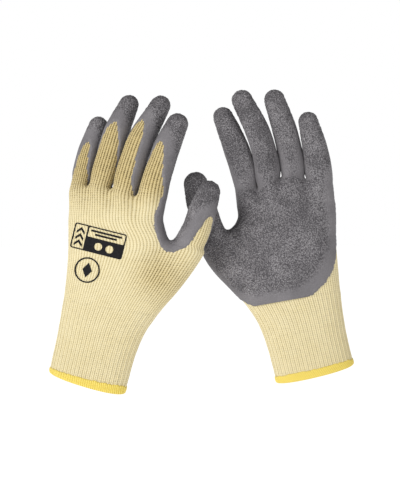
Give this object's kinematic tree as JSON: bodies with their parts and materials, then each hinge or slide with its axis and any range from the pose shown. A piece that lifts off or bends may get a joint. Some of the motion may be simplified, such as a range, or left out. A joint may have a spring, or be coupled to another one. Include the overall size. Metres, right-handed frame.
{
  "type": "pair of latex-dipped knitted safety gloves",
  "caption": "Pair of seamless knitted safety gloves, upright as if worn, with a crinkled latex film over palms, thumbs and fingertips, a ribbed elastic cuff and an overlocked hem.",
  "frame": {"origin": "middle of glove A's wrist opening", "axes": "+X from glove A to glove B, +Y from the front of the pair to its back, +Z towards the fingertips"},
  "size_m": [0.2617, 0.0613, 0.2602],
  "materials": {
    "knit": "ribbed knit, matt",
    "hem": "overlock stitched thread",
    "latex": "crinkled latex, matt",
    "elastic": "covered elastic thread",
    "print": "heat-transfer film"
  },
  "bodies": {
    "glove_a_hand": {"glove_a_cuff_hem": "hem", "glove_a_knit_cuff": "knit", "glove_a_knit_hand": "knit", "glove_a_palm_film": "latex", "glove_a_cuff_elastic": "elastic", "glove_a_print_panel": "print", "glove_a_print_roundel": "print"},
    "glove_a_little": {"glove_a_little_stall": "knit", "glove_a_little_film": "latex"},
    "glove_a_ring": {"glove_a_ring_stall": "knit", "glove_a_ring_film": "latex"},
    "glove_a_middle": {"glove_a_middle_stall": "knit", "glove_a_middle_film": "latex"},
    "glove_a_index": {"glove_a_index_stall": "knit", "glove_a_index_film": "latex"},
    "glove_a_thumb": {"glove_a_thumb_stall": "knit", "glove_a_thumb_film": "latex"},
    "glove_b_hand": {"glove_b_cuff_hem": "hem", "glove_b_knit_cuff": "knit", "glove_b_knit_hand": "knit", "glove_b_palm_film": "latex", "glove_b_cuff_elastic": "elastic", "glove_b_print_panel": "print", "glove_b_print_roundel": "print"},
    "glove_b_little": {"glove_b_little_stall": "knit", "glove_b_little_film": "latex"},
    "glove_b_ring": {"glove_b_ring_stall": "knit", "glove_b_ring_film": "latex"},
    "glove_b_middle": {"glove_b_middle_stall": "knit", "glove_b_middle_film": "latex"},
    "glove_b_index": {"glove_b_index_stall": "knit", "glove_b_index_film": "latex"},
    "glove_b_thumb": {"glove_b_thumb_stall": "knit", "glove_b_thumb_film": "latex"}
  },
  "joints": [
    {"name": "glove_a_little_fold", "type": "hinge", "parent": "glove_a_hand", "child": "glove_a_little", "pos_m": [-0.00235, 0.02369, 0.17406], "axis": [-0.9008, 0.4123, 0.1365], "range_deg": [0, 75], "stiffness_Nm_per_rad": 0.05},
    {"name": "glove_a_ring_fold", "type": "hinge", "parent": "glove_a_hand", "child": "glove_a_ring", "pos_m": [0.01641, 0.01575, 0.17429], "axis": [-0.889, 0.4002, 0.2225], "range_deg": [0, 75], "stiffness_Nm_per_rad": 0.05},
    {"name": "glove_a_middle_fold", "type": "hinge", "parent": "glove_a_hand", "child": "glove_a_middle", "pos_m": [0.03781, 0.00679, 0.16878], "axis": [-0.8791, 0.3957, 0.2657], "range_deg": [0, 75], "stiffness_Nm_per_rad": 0.05},
    {"name": "glove_a_index_fold", "type": "hinge", "parent": "glove_a_hand", "child": "glove_a_index", "pos_m": [0.062, -0.00255, 0.16715], "axis": [-0.8618, 0.3897, 0.3246], "range_deg": [0, 75], "stiffness_Nm_per_rad": 0.05},
    {"name": "glove_a_thumb_close", "type": "hinge", "parent": "glove_a_hand", "child": "glove_a_thumb", "pos_m": [0.08054, -0.01131, 0.13013], "axis": [-0.39, -0.9199, 0.0406], "range_deg": [0, 25], "stiffness_Nm_per_rad": 0.05},
    {"name": "glove_b_little_fold", "type": "hinge", "parent": "glove_b_hand", "child": "glove_b_little", "pos_m": [0.19811, -0.00525, 0.18045], "axis": [0.9926, -0.0908, 0.0803], "range_deg": [0, 75], "stiffness_Nm_per_rad": 0.05},
    {"name": "glove_b_ring_fold", "type": "hinge", "parent": "glove_b_hand", "child": "glove_b_ring", "pos_m": [0.17584, -0.00164, 0.1815], "axis": [0.9943, -0.0899, 0.0572], "range_deg": [0, 75], "stiffness_Nm_per_rad": 0.05},
    {"name": "glove_b_middle_fold", "type": "hinge", "parent": "glove_b_hand", "child": "glove_b_middle", "pos_m": [0.15496, -0.00249, 0.17807], "axis": [0.9868, -0.0985, 0.1282], "range_deg": [0, 75], "stiffness_Nm_per_rad": 0.05},
    {"name": "glove_b_index_fold", "type": "hinge", "parent": "glove_b_hand", "child": "glove_b_index", "pos_m": [0.13434, 0.00223, 0.17324], "axis": [0.9775, -0.0872, 0.192], "range_deg": [0, 75], "stiffness_Nm_per_rad": 0.05},
    {"name": "glove_b_thumb_close", "type": "hinge", "parent": "glove_b_hand", "child": "glove_b_thumb", "pos_m": [0.11774, 0.00871, 0.13349], "axis": [0.0869, 0.9951, 0.0471], "range_deg": [0, 25], "stiffness_Nm_per_rad": 0.05},
    {"name": "pair_slide", "type": "slide", "parent": "glove_a_hand", "child": "glove_b_hand", "axis": [1, 0, 0], "range_m": [0, 0.04]}
  ]
}
